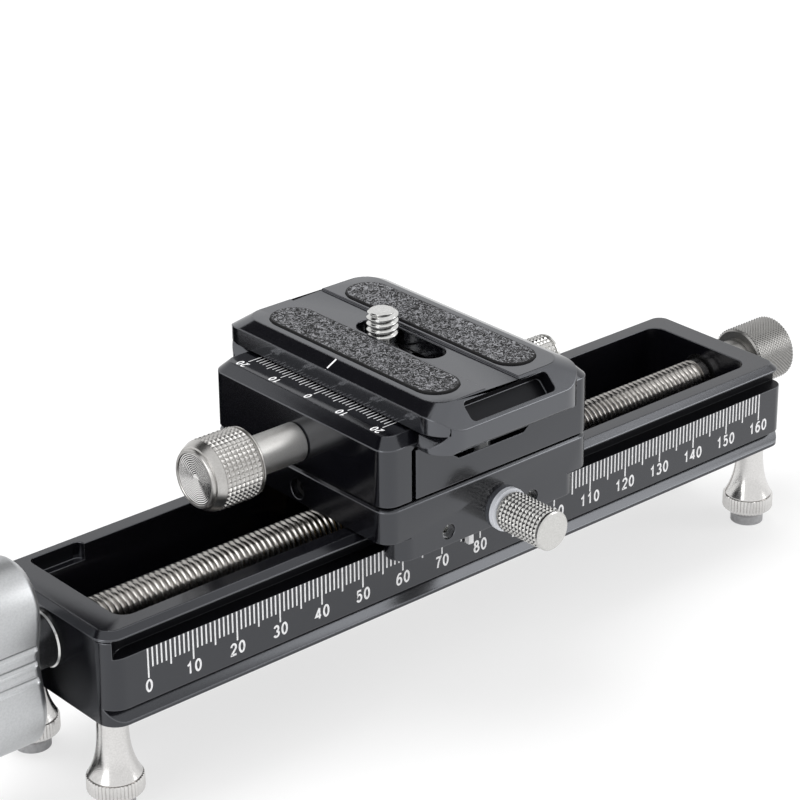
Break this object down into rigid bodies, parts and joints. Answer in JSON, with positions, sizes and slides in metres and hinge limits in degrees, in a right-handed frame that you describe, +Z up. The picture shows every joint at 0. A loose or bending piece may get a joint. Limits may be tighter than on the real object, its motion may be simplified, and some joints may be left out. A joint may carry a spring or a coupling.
{
  "type": "macro focusing rail",
  "caption": "Screw-driven macro focusing rail: slotted rail on feet, carriage with lock, panning quick-release clamp and a sliding camera plate with its screw.",
  "frame": {"origin": "mouth of the tripod socket, in the middle of the rail's underside", "axes": "+X along the rail towards the high end of its scale, +Y away from the scale face, +Z up"},
  "size_m": [0.2152, 0.0722, 0.0685],
  "materials": {
    "anodised_rail": "fine blasted black anodised",
    "anodised_block": "fine blasted black anodised",
    "anodised_clamp": "fine blasted black anodised",
    "anodised_plate": "fine blasted black anodised",
    "dark_boss": "black with bright turned edges",
    "turned_metal": "turned and knurled, satin",
    "satin_wheel": "satin blasted",
    "polished_disc": "spun bright",
    "screw_steel": "bright rolled thread",
    "bright_steel": "bright",
    "black_steel": "black oxide",
    "nut_bronze": "machined",
    "gib_acetal": "smooth black",
    "foot_rubber": "matte grey",
    "pad_rubber": "pressed in fine ridges",
    "white_nylon": "smooth",
    "slide_plastic": "smooth",
    "white_mark": "painted"
  },
  "bodies": {
    "rail": {"rail_frame": "anodised_rail", "tripod_insert": "bright_steel", "left_bush": "dark_boss", "right_bush": "dark_boss", "foot_front_left": "turned_metal", "foot_front_right": "turned_metal", "foot_back_left": "turned_metal", "foot_back_right": "turned_metal", "foot_pads": "foot_rubber"},
    "drive": {"lead_screw": "screw_steel", "thrust_collar": "dark_boss", "drive_wheel": "satin_wheel", "wheel_cap": "turned_metal", "wheel_grub_screw": "black_steel", "end_knob": "turned_metal", "end_knob_grub_screw": "black_steel"},
    "carriage": {"carriage_block": "anodised_block", "drive_nut": "nut_bronze", "nut_screws": "black_steel", "front_gib": "gib_acetal", "back_gib": "gib_acetal", "gib_screws": "bright_steel", "index_pointer": "white_mark", "pan_post": "bright_steel", "post_set_screw": "bright_steel", "pan_ring": "slide_plastic", "pan_nut": "bright_steel", "pan_screw": "black_steel", "carriage_lock_washer": "white_nylon", "carriage_lock_shoe": "slide_plastic"},
    "carriage_lock": {"carriage_lock_knob": "turned_metal"},
    "clamp": {"clamp_body": "anodised_clamp", "channel_screws": "bright_steel", "pan_lock_washer": "white_nylon", "pan_lock_shoe": "nut_bronze", "jaw_spring": "bright_steel"},
    "pan_lock": {"pan_lock_knob": "turned_metal"},
    "jaw": {"clamp_jaw": "anodised_clamp", "guide_pins": "bright_steel"},
    "jaw_drive": {"jaw_knob": "turned_metal", "jaw_knob_disc": "polished_disc", "jaw_screw": "screw_steel"},
    "plate": {"camera_plate": "anodised_plate", "left_pad": "pad_rubber", "right_pad": "pad_rubber"},
    "screw_carrier": {"screw_washer": "bright_steel"},
    "camera_screw": {"camera_screw": "screw_steel"}
  },
  "joints": [
    {"name": "lead_screw_turn", "type": "hinge", "parent": "rail", "child": "drive", "pos_m": [0, 0, 0.0115], "axis": [1, 0, 0], "range_deg": [-20161, 9793]},
    {"name": "carriage_slide", "type": "slide", "parent": "rail", "child": "carriage", "axis": [1, 0, 0], "range_m": [-0.034, 0.07]},
    {"name": "carriage_lock_turn", "type": "hinge", "parent": "carriage", "child": "carriage_lock", "pos_m": [0.0005, -0.027, 0.017], "axis": [0, 1, 0], "range_deg": [0, 540]},
    {"name": "clamp_pan", "type": "hinge", "parent": "carriage", "child": "clamp", "pos_m": [-0.0033, 0, 0.0266], "axis": [0, 0, 1], "continuous": true},
    {"name": "pan_lock_turn", "type": "hinge", "parent": "clamp", "child": "pan_lock", "pos_m": [0.0243, 0, 0.0305], "axis": [1, 0, 0], "range_deg": [0, 540]},
    {"name": "jaw_slide", "type": "slide", "parent": "clamp", "child": "jaw", "axis": [1, 0, 0], "range_m": [-0.004, 0]},
    {"name": "jaw_knob_turn", "type": "hinge", "parent": "jaw", "child": "jaw_drive", "pos_m": [-0.04, 0, 0.0317], "axis": [1, 0, 0], "range_deg": [-1441, 1]},
    {"name": "plate_slide", "type": "slide", "parent": "clamp", "child": "plate", "axis": [0, 1, 0], "range_m": [-0.02, 0.02]},
    {"name": "screw_slide", "type": "slide", "parent": "plate", "child": "screw_carrier", "axis": [0, 1, 0], "range_m": [-0.0135, 0.0027]},
    {"name": "camera_screw_turn", "type": "hinge", "parent": "screw_carrier", "child": "camera_screw", "pos_m": [-0.0033, 0.0054, 0.0457], "axis": [0, 0, 1], "continuous": true}
  ],
  "couplings": [
    {"joint": "lead_screw_turn", "follows": "carriage_slide", "rad_per_m": -5026.5},
    {"joint": "jaw_knob_turn", "follows": "jaw_slide", "rad_per_m": 6283.2}
  ]
}
